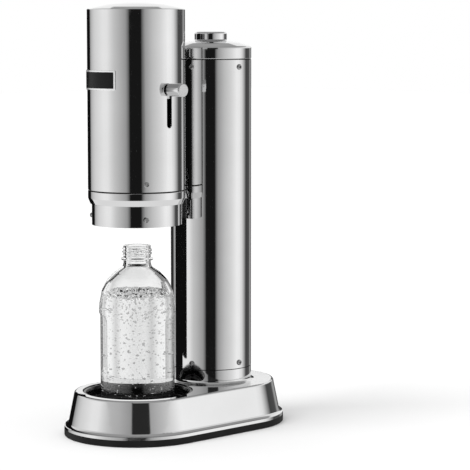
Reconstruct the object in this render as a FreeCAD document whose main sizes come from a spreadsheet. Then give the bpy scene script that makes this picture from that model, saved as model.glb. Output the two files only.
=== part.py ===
import FreeCAD, Part
import math
import os

import Sketcher
from FreeCAD import Placement, Rotation, Vector

# A steel soda carbonator: a stadium-shaped base, a gas column at the rear, a head at the front.
# Units are millimetres, +Z is up, -Y is the front, +X is the lever side.
# The origin is on the floor, at the middle of the base's outline.

doc = FreeCAD.newDocument("carbonator")
sheet = doc.addObject("Spreadsheet::Sheet", "Sizes")

# name, value, what it is
TABLE = (
    ("flange_reach", 3.9, "foot outline beyond the base wall"),
    ("foot_height", 7.2, "rubber foot, floor to steel flange"),
    ("foot_width", 6.7, "width of the rubber foot ring"),
    ("span_extra", 1.5, "base's round ends further apart than head and column"),
    ("flange_height", 3.1, "upright edge of the base's flange"),
    ("wall_spread", 7.2, "base wall at the flange beyond its top"),
    ("deck_land", 8.4, "deck round the tray opening"),
    ("deck_height", 46.0, "floor to deck"),
    ("base_wall", 2.0, "steel of the base"),
    ("deck_round", 2.4, "rounding of the deck's edge"),
    ("flange_round", 4.2, "hollow rounding between flange and wall"),
    ("collar_round", 3.4, "hollow rounding between deck and collar"),
    ("collar_height", 15.0, "column collar above the deck"),
    ("plate_height", 3.2, "floor to the underside of the base plate"),
    ("plate_thick", 2.0, "steel of the base plate"),
    ("boss_inset", 5.4, "side bosses, in from the wall's top"),
    ("boss_rear", 39.5, "rear bosses, out and back from the column's axis"),
    ("boss_radius", 4.0, "screw bosses under the deck"),
    ("between", 12.7, "free space between head and column"),
    ("shield_room", 2.5, "shield to the inside of the head shell"),
    ("shell_wall", 1.4, "steel of the head shell and of the shield"),
    ("bottle_clear", 58.4, "bottle's mouth to the seam under the head shell"),
    ("nozzle_room", 57.9, "bottle seal to the head's rim, shield up"),
    ("dome_rise", 7.1, "rim to the top of the lid"),
    ("seam_gap", 0.8, "open line at each seam"),
    ("ring_height", 8.0, "upright part of the head's lower ring"),
    ("bevel_height", 6.0, "bevelled part of the head's lower ring"),
    ("spigot_height", 14.0, "part of the lower ring inside the shell"),
    ("head_screw_rise", 8.0, "head screws above the seam"),
    ("bottle_room", 6.7, "bottle to the outside of the shield"),
    ("shield_drop", 36.3, "head seam to the shield's lower edge"),
    ("shield_rest", 8.5, "head rim to the shield's upper edge"),
    ("stud_rise", 8.2, "studs above the shield's lower edge"),
    ("stud_radius", 2.5, "shield studs"),
    ("stud_length", 4.5, "studs, out from the shield"),
    ("cylinder_room", 12.0, "gas cylinder to the inside of the column"),
    ("column_wall", 1.5, "steel of the column"),
    ("cap_drop", 52.9, "head rim to the seam under the column cap"),
    ("cap_height", 14.0, "seam to the cap's rim"),
    ("cap_rise", 6.0, "cap's rim to the flat under the knob"),
    ("cap_steel", 1.8, "steel of the cap"),
    ("knob_radius", 17.3, "knob on the cap"),
    ("knob_height", 9.6, "knob on the cap"),
    ("screw_radius", 1.4, "shafts of the radial screws"),
    ("screw_head", 2.3, "heads of the radial screws, radius"),
    ("screw_stand", 1.1, "heads of the radial screws, out from the steel"),
    ("lower_screw_rise", 7.0, "lower column screws above the collar seam"),
    ("upper_screw_drop", 7.5, "upper column screws below the cap seam"),
    ("landing_room", 6.6, "shield studs to the opening in the deck"),
    ("tray_gap", 0.6, "tray to deck opening"),
    ("tray_floor", 15.0, "floor to the bottom of the bottle seat"),
    ("tray_ledge", 34.5, "floor to the ledge the shield lands on"),
    ("tray_wall", 2.4, "plastic of the tray"),
    ("pad_thick", 1.2, "rubber pad under the bottle"),
    ("bottle_radius", 40.2, "bottle body"),
    ("bottle_top", 199.7, "floor to the bottle's mouth"),
    ("bottle_wall", 3.2, "glass"),
    ("neck_radius", 14.2, "bottle neck"),
    ("lever_drop", 82.3, "head rim to the lever's axis, lever up"),
    ("lever_travel", 35.5, "lever, up to down"),
    ("lever_radius", 6.7, "lever knob"),
    ("lever_length", 19.4, "lever knob"),
    ("stem_radius", 3.3, "lever stem"),
    ("slot_side", 0.1, "stem to slot, each side"),
    ("band_height", 18.0, "lever band inside the shell"),
    ("band_thick", 1.5, "lever band"),
    ("bridge_half", 9.5, "half the width of the bridge"),
    ("channel_half", 6.5, "half the width of the channel in the bridge"),
    ("ramp_room", 4.5, "channel's top above the wedge, lever up"),
    ("ramp_over", 1.0, "wedge above the part the plunger follows"),
    ("plunger_radius", 3.0, "plunger"),
    ("wedge_gain", 3.55, "plunger's stroke over the lever's travel"),
    ("cylinder_radius", 30.0, "gas cylinder"),
    ("cylinder_wall", 2.6, "steel of the gas cylinder"),
    ("badge_height", 20.3, "badge"),
    ("badge_drop", 62.4, "head rim to the badge's upper edge"),
    ("badge_angle", 67.8, "badge, round the head"),
    ("badge_start", -134.0, "badge's far edge, round from +X"),
    ("badge_border", 1.8, "light border of the badge"),
    ("fit_gap", 0.3, "free space between pieces that move past each other"),
    ("slide_gap", 0.08, "running fits"),
    ("hose_radius", 13.5, "middle of the gas hose's coil"),
    ("hose_bore", 1.7, "gas hose, outer radius"),
    ("pipe_radius", 0.9, "thin steel gas pipe"),
)


class Size:
    """A number that also knows how the sheet works it out."""

    def __init__(self, value, text):
        self.value = value
        self.text = text

    def __add__(self, other):
        return Size(self.value + number(other), "(%s + %s)" % (self.text, words(other)))

    def __radd__(self, other):
        return Size(number(other) + self.value, "(%s + %s)" % (words(other), self.text))

    def __sub__(self, other):
        return Size(self.value - number(other), "(%s - %s)" % (self.text, words(other)))

    def __rsub__(self, other):
        return Size(number(other) - self.value, "(%s - %s)" % (words(other), self.text))

    def __mul__(self, other):
        return Size(self.value * number(other), "(%s * %s)" % (self.text, words(other)))

    def __rmul__(self, other):
        return self.__mul__(other)

    def __truediv__(self, other):
        return Size(self.value / number(other), "(%s / %s)" % (self.text, words(other)))

    def __neg__(self):
        return self * -1


def number(size):
    return size.value if isinstance(size, Size) else size


def words(size):
    return size.text if isinstance(size, Size) else repr(size)


sizes = {}
for row, (name, value, note) in enumerate(TABLE, start=1):
    sheet.set("A%d" % row, name)
    sheet.set("B%d" % row, str(value))
    sheet.setAlias("B%d" % row, name)
    sheet.set("C%d" % row, note)
    sizes[name] = Size(value, "Sizes." + name)
doc.recompute()


def size(name):
    return sizes[name]


# Main sizes that follow from what they hold, from the bottle outwards.
sizes["shield_radius"] = size("bottle_radius") + size("bottle_room")
sizes["head_radius"] = size("shield_radius") + size("shield_room") + size("shell_wall")
sizes["column_radius"] = size("cylinder_radius") + size("cylinder_room") + size("column_wall")
sizes["reach"] = size("head_radius") + size("column_radius") + size("between")
sizes["base_span"] = size("reach") + size("span_extra")
sizes["tray_radius"] = size("shield_radius") + size("stud_length") + size("landing_room")
sizes["wall_top_radius"] = size("tray_radius") + size("deck_land")
sizes["wall_foot_radius"] = size("wall_top_radius") + size("wall_spread")
sizes["foot_radius"] = size("wall_foot_radius") + size("flange_reach")
sizes["boss_side"] = size("wall_top_radius") - size("boss_inset")
sizes["head_seam"] = size("bottle_top") + size("bottle_clear")


def bind(item, field, value):
    if isinstance(value, Size):
        item.setExpression(field, value.text)


# ---- helpers for bodies ----


def new_body(name, across=0, along=0, up=0, turn=0):
    """A body with its own frame, moved and turned about Z."""
    body = doc.addObject("PartDesign::Body", name)
    body.Label = name
    body.AllowCompound = True
    spot = Vector(number(across), number(along), number(up))
    body.Placement = Placement(spot, Rotation(Vector(0, 0, 1), number(turn)))
    bind(body, "Placement.Base.x", across)
    bind(body, "Placement.Base.y", along)
    bind(body, "Placement.Base.z", up)
    bind(body, "Placement.Rotation.Angle", turn)
    return body


def origin_item(body, role):
    return next(item for item in body.Origin.OriginFeatures if item.Role == role)


def sketch_on(body, role, lift=0, rise=0):
    """A sketch on one of the body's planes: lifted off it, and raised along its own Y."""
    sketch = body.newObject("Sketcher::SketchObject", body.Name + "_sketch")
    sketch.AttachmentSupport = [(origin_item(body, role), "")]
    sketch.MapMode = "FlatFace"
    sketch.AttachmentOffset = Placement(Vector(0, number(rise), number(lift)), Rotation())
    bind(sketch, "AttachmentOffset.Base.z", lift)
    bind(sketch, "AttachmentOffset.Base.y", rise)
    sketch.Visibility = False
    return sketch


def constrain(sketch, kind, places, value):
    index = sketch.addConstraint(Sketcher.Constraint(kind, *places, number(value)))
    bind(sketch, "Constraints[%d]" % index, value)


def pin(sketch, piece, end, across, up):
    constrain(sketch, "DistanceX", (-1, 1, piece, end), across)
    constrain(sketch, "DistanceY", (-1, 1, piece, end), up)


def outline(sketch, corners):
    """A closed outline with straight sides, every corner tied to its sizes."""
    first = sketch.GeometryCount
    total = len(corners)
    points = [Vector(number(across), number(up), 0) for across, up in corners]
    for place in range(total):
        side = Part.LineSegment(points[place], points[(place + 1) % total])
        sketch.addGeometry(side, False)
    for place in range(total):
        after = first + (place + 1) % total
        sketch.addConstraint(Sketcher.Constraint("Coincident", first + place, 2, after, 1))
    for place, (across, up) in enumerate(corners):
        pin(sketch, first + place, 1, across, up)


def circle(sketch, across, up, radius):
    middle = Vector(number(across), number(up), 0)
    piece = sketch.addGeometry(Part.Circle(middle, Vector(0, 0, 1), number(radius)), False)
    pin(sketch, piece, 3, across, up)
    constrain(sketch, "Radius", (piece,), radius)


def long_round(sketch, radius, half, middle=0):
    """A stadium along the sketch's Y: two half circles and two straight sides."""
    wide = number(radius)
    low = number(middle) - number(half)
    high = number(middle) + number(half)
    normal = Vector(0, 0, 1)
    lower = Part.ArcOfCircle(Part.Circle(Vector(0, low, 0), normal, wide), math.pi, 2 * math.pi)
    upper = Part.ArcOfCircle(Part.Circle(Vector(0, high, 0), normal, wide), 0, math.pi)
    right = Part.LineSegment(Vector(wide, low, 0), Vector(wide, high, 0))
    left = Part.LineSegment(Vector(-wide, high, 0), Vector(-wide, low, 0))
    first = sketch.GeometryCount
    for shape in (lower, right, upper, left):
        sketch.addGeometry(shape, False)
    for place in range(4):
        after = first + (place + 1) % 4
        sketch.addConstraint(Sketcher.Constraint("Tangent", first + place, 2, after, 1))
    pin(sketch, first, 3, 0, middle - half)
    pin(sketch, first + 2, 3, 0, middle + half)
    constrain(sketch, "Radius", (first,), radius)
    constrain(sketch, "Radius", (first + 2,), radius)


def feature(body, kind, sketch):
    made = body.newObject("PartDesign::" + kind, body.Name + "_" + kind.lower())
    made.Profile = sketch
    return made


def pad(body, sketch, length, reverse=False):
    made = feature(body, "Pad", sketch)
    made.Length = number(length)
    bind(made, "Length", length)
    made.Reversed = reverse
    doc.recompute()
    return made


def pocket(body, sketch, length, reverse=False):
    made = feature(body, "Pocket", sketch)
    made.Length = number(length)
    bind(made, "Length", length)
    made.Reversed = reverse
    doc.recompute()
    return made


def revolve(body, sketch, axis="V_Axis", angle=360, kind="Revolution"):
    made = feature(body, kind, sketch)
    made.ReferenceAxis = (sketch, [axis])
    made.Angle = number(angle)
    bind(made, "Angle", angle)
    doc.recompute()
    return made


def loft(body, lower, upper, kind="AdditiveLoft"):
    made = feature(body, kind, lower)
    made.Sections = [upper]
    made.Ruled = True
    doc.recompute()
    return made


def ring_of(body, made, count):
    """Repeat a feature evenly round the body's Z axis."""
    pattern = body.newObject("PartDesign::PolarPattern", body.Name + "_pattern")
    pattern.Originals = [made]
    pattern.Axis = (origin_item(body, "Z_Axis"), [""])
    pattern.Angle = 360
    pattern.Occurrences = count
    body.Tip = pattern
    doc.recompute()
    return pattern


def edges_at(body, height, radius=None, inside=None):
    """Edges of the newest shape that lie flat at a height, by radius or by largest reach."""
    names = []
    for place, edge in enumerate(body.Tip.Shape.Edges, start=1):
        box = edge.BoundBox
        level = number(height)
        if abs(box.ZMin - level) > 0.02 or abs(box.ZMax - level) > 0.02:
            continue
        if radius is not None:
            curve = edge.Curve
            if not hasattr(curve, "Radius") or abs(curve.Radius - number(radius)) > 0.02:
                continue
        if inside is not None and max(abs(box.XMin), abs(box.XMax)) > number(inside) + 0.02:
            continue
        names.append("Edge%d" % place)
    return names


def round_edges(body, names, radius, kind="Fillet"):
    if not names:
        raise ValueError("no edges to round on " + body.Name)
    base = body.Tip
    made = body.newObject("PartDesign::" + kind, body.Name + "_" + kind.lower())
    made.Base = (base, names)
    field = "Radius" if kind == "Fillet" else "Size"
    setattr(made, field, number(radius))
    bind(made, field, radius)
    doc.recompute()
    return made


def turned(name, corners, along=0, turn=0, angle=360, across=0):
    """A piece turned about its own Z axis from one outline of (radius, height) corners."""
    body = new_body(name, across=across, along=along, turn=turn)
    sketch = sketch_on(body, "XZ_Plane")
    outline(sketch, corners)
    revolve(body, sketch, "V_Axis", angle)
    return body


def side_turned(name, corners, height, along=0, turn=0):
    """A piece turned about a level axis that runs out along the body's own X."""
    body = new_body(name, along=along, turn=turn)
    sketch = sketch_on(body, "XZ_Plane", rise=height)
    outline(sketch, corners)
    revolve(body, sketch, "H_Axis")
    return body


def radial_screws(name, steel_radius, depth, height, count, along, turn):
    """Round-headed screws driven inwards, evenly round an upright axis."""
    inner = steel_radius - depth
    socket = steel_radius + size("screw_stand") * 0.4
    outer = steel_radius + size("screw_stand")
    corners = (
        (inner, 0),
        (inner, size("screw_radius")),
        (steel_radius, size("screw_radius")),
        (steel_radius, size("screw_head")),
        (outer - 0.4, size("screw_head")),
        (outer, size("screw_head") - 0.6),
        (outer, size("screw_radius") * 0.75),
        (socket, size("screw_radius") * 0.75),
        (socket, 0),
    )
    body = side_turned(name, corners, height, along, turn)
    ring_of(body, body.Tip, count)
    return body


def radial_holes(body, plane, radius, height, count, reverse):
    """Round holes through a wall, evenly round the body's axis."""
    sketch = sketch_on(body, plane)
    circle(sketch, 0, height, radius)
    made = pocket(body, sketch, size("head_radius") * 1.2, reverse)
    return ring_of(body, made, count)


def coil(name, middle, wire, low, high, turns, along, across=0):
    """A wire wound evenly between two heights."""
    body = new_body(name, across=across, along=along, up=low)
    sketch = sketch_on(body, "XZ_Plane")
    circle(sketch, middle, 0, wire)
    made = feature(body, "AdditiveHelix", sketch)
    made.ReferenceAxis = (sketch, ["V_Axis"])
    made.Mode = "height-turns-growth"
    made.Height = number(high - low)
    bind(made, "Height", high - low)
    made.Turns = turns
    doc.recompute()
    return body


# ---- heights and places worked out from the sizes ----

front_axis = size("base_span") / -2
rear_axis = front_axis + size("reach")
shield_bottom = size("head_seam") - size("shield_drop")
shield_travel = shield_bottom - size("tray_ledge") - size("fit_gap")
seal_under = size("bottle_top") + shield_travel + size("fit_gap")
head_rim = seal_under + size("nozzle_room")
cap_seam = head_rim - size("cap_drop")
flange_top = size("foot_height") + size("flange_height")
deck_under = size("deck_height") - size("base_wall")
collar_seam = size("deck_height") + size("collar_height")
plate_top = size("plate_height") + size("plate_thick")
shell_inner = size("head_radius") - size("shell_wall")
shield_inner = size("shield_radius") - size("shell_wall")
shield_top = head_rim - size("shield_rest")
column_inner = size("column_radius") - size("column_wall")
lever_height = head_rim - size("lever_drop")
bridge_low = size("head_seam") + 20
bridge_high = cap_seam - 1.0
channel_low = bridge_low + 6
channel_high = bridge_high - 5
ramp_high = channel_high - size("ramp_room")
plunger_height = ramp_high - size("ramp_over") - size("lever_travel")
half_span = size("base_span") / 2
column_front = size("reach") - size("column_radius")

# ---- base ----

foot_inner = size("foot_radius") - size("foot_width")
foot_ring = new_body("foot_ring")
sketch = sketch_on(foot_ring, "XY_Plane")
long_round(sketch, size("foot_radius"), half_span)
long_round(sketch, foot_inner, half_span)
pad(foot_ring, sketch, size("foot_height"))
floor_edges = edges_at(foot_ring, 0)
inner_edges = edges_at(foot_ring, 0, inside=foot_inner)
round_edges(foot_ring, [edge for edge in floor_edges if edge not in inner_edges], 1.0)

base_shell = new_body("base_shell")
sketch = sketch_on(base_shell, "XY_Plane", lift=size("foot_height"))
long_round(sketch, size("foot_radius") - 0.2, half_span)
pad(base_shell, sketch, size("flange_height"))
wall_low = sketch_on(base_shell, "XY_Plane", lift=flange_top)
long_round(wall_low, size("wall_foot_radius"), half_span)
wall_high = sketch_on(base_shell, "XY_Plane", lift=size("deck_height"))
long_round(wall_high, size("wall_top_radius"), half_span)
loft(base_shell, wall_low, wall_high)
sketch = sketch_on(base_shell, "XY_Plane", lift=size("deck_height"))
circle(sketch, 0, rear_axis, size("column_radius"))
pad(base_shell, sketch, size("collar_height"))
flange_edges = edges_at(base_shell, flange_top, inside=size("wall_foot_radius"))
round_edges(base_shell, flange_edges, size("flange_round"))
collar_edges = edges_at(base_shell, size("deck_height"), radius=size("column_radius"))
deck_edges = [edge for edge in edges_at(base_shell, size("deck_height")) if edge not in collar_edges]
round_edges(base_shell, deck_edges, size("deck_round"))
collar_edges = edges_at(base_shell, size("deck_height"), radius=size("column_radius"))
round_edges(base_shell, collar_edges, size("collar_round"))
hollow_low = sketch_on(base_shell, "XY_Plane", lift=size("foot_height") - 1)
long_round(hollow_low, size("wall_foot_radius") - size("base_wall"), half_span)
hollow_high = sketch_on(base_shell, "XY_Plane", lift=deck_under)
long_round(hollow_high, size("wall_top_radius") - size("base_wall"), half_span)
loft(base_shell, hollow_low, hollow_high, "SubtractiveLoft")
sketch = sketch_on(base_shell, "XY_Plane", lift=collar_seam)
circle(sketch, 0, rear_axis, column_inner)
pocket(base_shell, sketch, size("collar_height") + size("base_wall") + 1)
sketch = sketch_on(base_shell, "XY_Plane", lift=size("deck_height"))
circle(sketch, 0, front_axis, size("tray_radius"))
pocket(base_shell, sketch, size("base_wall") + 1)
boss_spots = (
    (size("boss_side"), 0),
    (-size("boss_side"), 0),
    (size("boss_rear"), rear_axis + size("boss_rear")),
    (-size("boss_rear"), rear_axis + size("boss_rear")),
)
sketch = sketch_on(base_shell, "XY_Plane", lift=plate_top)
for across, along in boss_spots:
    circle(sketch, across, along, size("boss_radius"))
    circle(sketch, across, along, 1.6)
pad(base_shell, sketch, deck_under + 0.5 - plate_top)

base_plate = new_body("base_plate")
sketch = sketch_on(base_plate, "XY_Plane", lift=size("plate_height"))
long_round(sketch, foot_inner - 0.2, half_span)
for across, along in boss_spots:
    circle(sketch, across, along, 1.7)
pad(base_plate, sketch, size("plate_thick"))

base_screws = new_body("base_screws")
sketch = sketch_on(base_screws, "XY_Plane", lift=size("plate_height") - 1.8)
for across, along in boss_spots:
    circle(sketch, across, along, 3.0)
    circle(sketch, across, along, 1.0)
pad(base_screws, sketch, 1.8)
sketch = sketch_on(base_screws, "XY_Plane", lift=size("plate_height") - 1.2)
for across, along in boss_spots:
    circle(sketch, across, along, 1.5)
pad(base_screws, sketch, 14.0)

# ---- tray and bottle ----

tray_outer = size("tray_radius") - size("tray_gap")
tray_rim = size("deck_height") - 1.0
seat_radius = size("bottle_radius") + 2.0
landing = size("shield_radius") + size("stud_length") + 2.0
turned(
    "tray_support",
    (
        (28.0, plate_top),
        (seat_radius - 2, plate_top),
        (seat_radius - 2, size("tray_floor") - size("tray_wall") - 0.1),
        (28.0, size("tray_floor") - size("tray_wall") - 0.1),
    ),
    along=front_axis,
)
turned(
    "drip_tray",
    (
        (0, size("tray_floor") - size("tray_wall")),
        (seat_radius + size("tray_wall"), size("tray_floor") - size("tray_wall")),
        (seat_radius + size("tray_wall"), size("tray_ledge") - size("tray_wall")),
        (tray_outer, size("tray_ledge") - size("tray_wall")),
        (tray_outer, tray_rim),
        (landing, tray_rim),
        (landing, size("tray_ledge")),
        (seat_radius, size("tray_ledge")),
        (seat_radius, size("tray_floor")),
        (0, size("tray_floor")),
    ),
    along=front_axis,
)
pad_top = size("tray_floor") + size("pad_thick")
turned(
    "bottle_pad",
    (
        (0, size("tray_floor")),
        (seat_radius - 1, size("tray_floor")),
        (seat_radius - 1, pad_top),
        (0, pad_top),
    ),
    along=front_axis,
)

glass = size("bottle_wall")
body_radius = size("bottle_radius")
neck = size("neck_radius")
mouth = size("bottle_top")
foot = pad_top + 0.1
bottle = new_body("bottle_glass", along=front_axis)
sketch = sketch_on(bottle, "XZ_Plane")
outline(
    sketch,
    (
        (0, foot + 3.0),
        (body_radius - 9, foot + 1.4),
        (body_radius - 7, foot),
        (body_radius - 3, foot),
        (body_radius - 0.2, foot + 3.4),
        (body_radius, mouth - 63.0),
        (body_radius - 3.2, mouth - 46.5),
        (body_radius - 8.4, mouth - 36.6),
        (body_radius - 16.4, mouth - 28.4),
        (neck + 1.0, mouth - 22.6),
        (neck, mouth - 18.4),
        (neck, mouth - 16.6),
        (neck + 2.8, mouth - 15.6),
        (neck + 2.8, mouth - 13.6),
        (neck, mouth - 12.6),
        (neck, mouth - 9.9),
        (neck + 1.3, mouth - 9.1),
        (neck + 1.3, mouth - 8.3),
        (neck, mouth - 7.5),
        (neck, mouth - 5.3),
        (neck + 1.3, mouth - 4.5),
        (neck + 1.3, mouth - 3.7),
        (neck, mouth - 2.9),
        (neck, mouth - 0.6),
        (neck - 0.6, mouth),
        (neck - glass + 0.5, mouth),
        (neck - glass, mouth - 0.6),
        (neck - glass, mouth - 20.4),
        (neck + 1.0 - glass, mouth - 24.6),
        (body_radius - 17.4 - glass * 0.6, mouth - 31.6),
        (body_radius - 9.4 - glass * 0.6, mouth - 39.0),
        (body_radius - 3.8 - glass, mouth - 48.0),
        (body_radius - glass, mouth - 63.0),
        (body_radius - glass, foot + 9.0),
        (body_radius - glass - 5, foot + 4.6),
        (0, foot + 6.2),
    ),
)
revolve(bottle, sketch)
shoulder = (
    (63.0, body_radius, 30.0),
    (46.5, body_radius - 3.2, 20.0),
    (36.6, body_radius - 8.4, 16.0),
    (28.4, body_radius - 16.4, 12.0),
    (22.6, neck + 1.0, 4.0),
)
for level, reach_out, rounding in shoulder:
    round_edges(bottle, edges_at(bottle, mouth - level, radius=reach_out), rounding)

# ---- column ----

column_low = collar_seam + size("seam_gap")
column_screw_low = collar_seam + size("lower_screw_rise")
column_screw_high = cap_seam - size("upper_screw_drop")
ring_outer = column_inner - 0.05
ring_inner = column_inner - 2.6

column_tube = turned(
    "column_tube",
    (
        (column_inner, column_low),
        (size("column_radius"), column_low),
        (size("column_radius"), cap_seam),
        (column_inner, cap_seam),
    ),
    along=rear_axis,
)
radial_holes(column_tube, "YZ_Plane", size("screw_radius") + 0.1, column_screw_low, 5, True)
radial_holes(column_tube, "YZ_Plane", size("screw_radius") + 0.1, column_screw_high, 5, True)
sketch = sketch_on(column_tube, "XZ_Plane")
circle(sketch, 0, plunger_height, size("plunger_radius") + 0.4)
circle(sketch, -5.2, plunger_height + 9, size("pipe_radius") + 0.4)
pocket(column_tube, sketch, size("column_radius") + 1, True)

column_base_ring = turned(
    "column_base_ring",
    (
        (ring_inner, collar_seam - 9),
        (ring_outer, collar_seam - 9),
        (ring_outer, column_screw_low + 7),
        (ring_inner, column_screw_low + 7),
    ),
    along=rear_axis,
)
radial_holes(column_base_ring, "YZ_Plane", size("screw_radius") + 0.1, column_screw_low, 5, True)

lug_low = cap_seam - 5.2
lug_high = cap_seam - 2.6
channel_radius = ring_outer - 0.8
slot_radius = channel_radius - 0.2
column_top_ring = turned(
    "column_top_ring",
    (
        (ring_inner, cap_seam - 16),
        (ring_outer, cap_seam - 16),
        (ring_outer, cap_seam - 0.4),
        (ring_inner, cap_seam - 0.4),
        (ring_inner, lug_high + 0.5),
        (channel_radius, lug_high + 0.5),
        (channel_radius, lug_low - 0.4),
        (ring_inner, lug_low - 0.4),
    ),
    along=rear_axis,
)
sketch = sketch_on(column_top_ring, "XZ_Plane")
outline(
    sketch,
    (
        (ring_inner - 1, lug_low),
        (slot_radius, lug_low),
        (slot_radius, cap_seam),
        (ring_inner - 1, cap_seam),
    ),
)
slot = revolve(column_top_ring, sketch, "V_Axis", 34, "Groove")
ring_of(column_top_ring, slot, 3)
sketch = sketch_on(column_top_ring, "YZ_Plane")
circle(sketch, 0, column_screw_high, size("screw_radius") + 0.1)
hole = pocket(column_top_ring, sketch, size("column_radius"), True)
ring_of(column_top_ring, hole, 5)

radial_screws(
    "column_screws_lower", size("column_radius"), 3.6, column_screw_low, 5, rear_axis, 0
)
radial_screws(
    "column_screws_upper", size("column_radius"), 2.4, column_screw_high, 5, rear_axis, 0
)

# ---- column cap ----

skirt_radius = ring_inner - size("fit_gap")
cap_under = cap_seam + 0.9
cap_rim = cap_seam + size("cap_height")
cap_flat = cap_rim + size("cap_rise")
turned(
    "cap_gasket",
    (
        (ring_inner + 0.6, cap_seam + 0.1),
        (size("column_radius") - 0.5, cap_seam + 0.1),
        (size("column_radius") - 0.5, cap_under - 0.1),
        (ring_inner + 0.6, cap_under - 0.1),
    ),
    along=rear_axis,
)
cap_inner = skirt_radius - size("cap_steel")
column_cap = turned(
    "column_cap",
    (
        (cap_inner, lug_low - 0.2),
        (skirt_radius, lug_low - 0.2),
        (skirt_radius, cap_under),
        (size("column_radius"), cap_under),
        (size("column_radius"), cap_rim),
        (size("column_radius") * 0.75, cap_rim + size("cap_rise") * 0.52),
        (size("knob_radius") + 1.5, cap_flat),
        (2.6, cap_flat),
        (2.6, cap_flat - size("cap_steel")),
        (size("knob_radius"), cap_flat - size("cap_steel")),
        (size("column_radius") * 0.72, cap_rim + size("cap_rise") * 0.52 - size("cap_steel")),
        (cap_inner, cap_rim - size("cap_steel")),
    ),
    along=rear_axis,
    turn=5,
)
round_edges(column_cap, edges_at(column_cap, cap_rim, radius=size("column_radius")), 1.4)
sketch = sketch_on(column_cap, "XZ_Plane")
outline(
    sketch,
    (
        (skirt_radius - 1.0, lug_low),
        (slot_radius - size("fit_gap"), lug_low),
        (slot_radius - size("fit_gap"), lug_high),
        (skirt_radius - 1.0, lug_high),
    ),
)
lug = revolve(column_cap, sketch, "V_Axis", 24)
ring_of(column_cap, lug, 3)

knob_top = cap_flat + size("knob_height")
cap_knob = turned(
    "cap_knob",
    (
        (0, cap_flat + 6.0),
        (2.6, cap_flat + 6.0),
        (2.6, cap_flat),
        (size("knob_radius") - 1.0, cap_flat),
        (size("knob_radius"), cap_flat + 1.4),
        (size("knob_radius"), knob_top),
        (0, knob_top),
    ),
    along=rear_axis,
)
round_edges(cap_knob, edges_at(cap_knob, knob_top, radius=size("knob_radius")), 2.2)
turned(
    "knob_screw",
    (
        (0, cap_flat - size("cap_steel") - 3.0),
        (5.0, cap_flat - size("cap_steel") - 3.0),
        (5.0, cap_flat - size("cap_steel")),
        (2.5, cap_flat - size("cap_steel")),
        (2.5, cap_flat + 5.8),
        (0, cap_flat + 5.8),
    ),
    along=rear_axis,
)

# ---- gas supply in the column ----

block_low = plunger_height - 14
block_high = plunger_height + 14
neck_top = block_low - 10
steel = size("cylinder_wall")
turned(
    "cylinder_seat",
    (
        (0, plate_top),
        (size("cylinder_radius") + 4, plate_top),
        (size("cylinder_radius") + 4, plate_top + 15),
        (size("cylinder_radius") + 0.3, plate_top + 15),
        (size("cylinder_radius") + 0.3, plate_top + 3),
        (0, plate_top + 3),
    ),
    along=rear_axis,
)
turned(
    "gas_cylinder",
    (
        (0, plate_top + 3),
        (size("cylinder_radius") - 4, plate_top + 3),
        (size("cylinder_radius"), plate_top + 7),
        (size("cylinder_radius"), neck_top - 30),
        (size("cylinder_radius") - 4, neck_top - 19),
        (13.0, neck_top - 8),
        (13.0, neck_top),
        (8.0, neck_top),
        (8.0, neck_top - 10),
        (size("cylinder_radius") - 4 - steel, neck_top - 21),
        (size("cylinder_radius") - steel, neck_top - 31),
        (size("cylinder_radius") - steel, plate_top + 8),
        (size("cylinder_radius") - 4 - steel, plate_top + 5.6),
        (0, plate_top + 5.6),
    ),
    along=rear_axis,
)
turned(
    "cylinder_valve",
    (
        (1.6, neck_top - 12),
        (7.9, neck_top - 12),
        (7.9, neck_top),
        (13.0, neck_top),
        (13.0, block_low - 1),
        (10.4, block_low - 1),
        (10.4, block_low + 8.6),
        (1.6, block_low + 8.6),
    ),
    along=rear_axis,
)
turned(
    "valve_pin",
    ((0, neck_top - 8), (1.5, neck_top - 8), (1.5, block_low + 8.8), (0, block_low + 8.8)),
    along=rear_axis,
)
valve_block = turned(
    "valve_block",
    (
        (0, block_low + 9),
        (10.6, block_low + 9),
        (10.6, block_low),
        (26.0, block_low),
        (26.0, block_high),
        (0, block_high),
    ),
    along=rear_axis,
)
sketch = sketch_on(valve_block, "XZ_Plane", lift=10)
circle(sketch, 0, plunger_height, size("plunger_radius") + size("slide_gap"))
pocket(valve_block, sketch, 20, True)
sketch = sketch_on(valve_block, "XZ_Plane", lift=16)
circle(sketch, -5.2, plunger_height + 9, size("pipe_radius") + 0.05)
pocket(valve_block, sketch, 20, True)

bracket = turned(
    "block_bracket",
    (
        (0, block_high),
        (ring_outer, block_high),
        (ring_outer, cap_seam - 16),
        (ring_inner, cap_seam - 16),
        (ring_inner, block_high + 2.5),
        (0, block_high + 2.5),
    ),
    along=rear_axis,
)
sketch = sketch_on(bracket, "XY_Plane", lift=block_high)
circle(sketch, 16.0, 0, 1.7)
hole = pocket(bracket, sketch, 3.0, True)
ring_of(bracket, hole, 3)
block_screws = new_body("block_screws", along=rear_axis)
sketch = sketch_on(block_screws, "XY_Plane", lift=block_high)
circle(sketch, 16.0, 0, 1.6)
shaft = pad(block_screws, sketch, 4.0)
ring_of(block_screws, shaft, 3)
sketch = sketch_on(block_screws, "XY_Plane", lift=block_high + 2.5)
circle(sketch, 16.0, 0, 3.0)
circle(sketch, 16.0, 0, 1.2)
cap = pad(block_screws, sketch, 2.2)
ring_of(block_screws, cap, 3)

# ---- head ----

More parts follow.
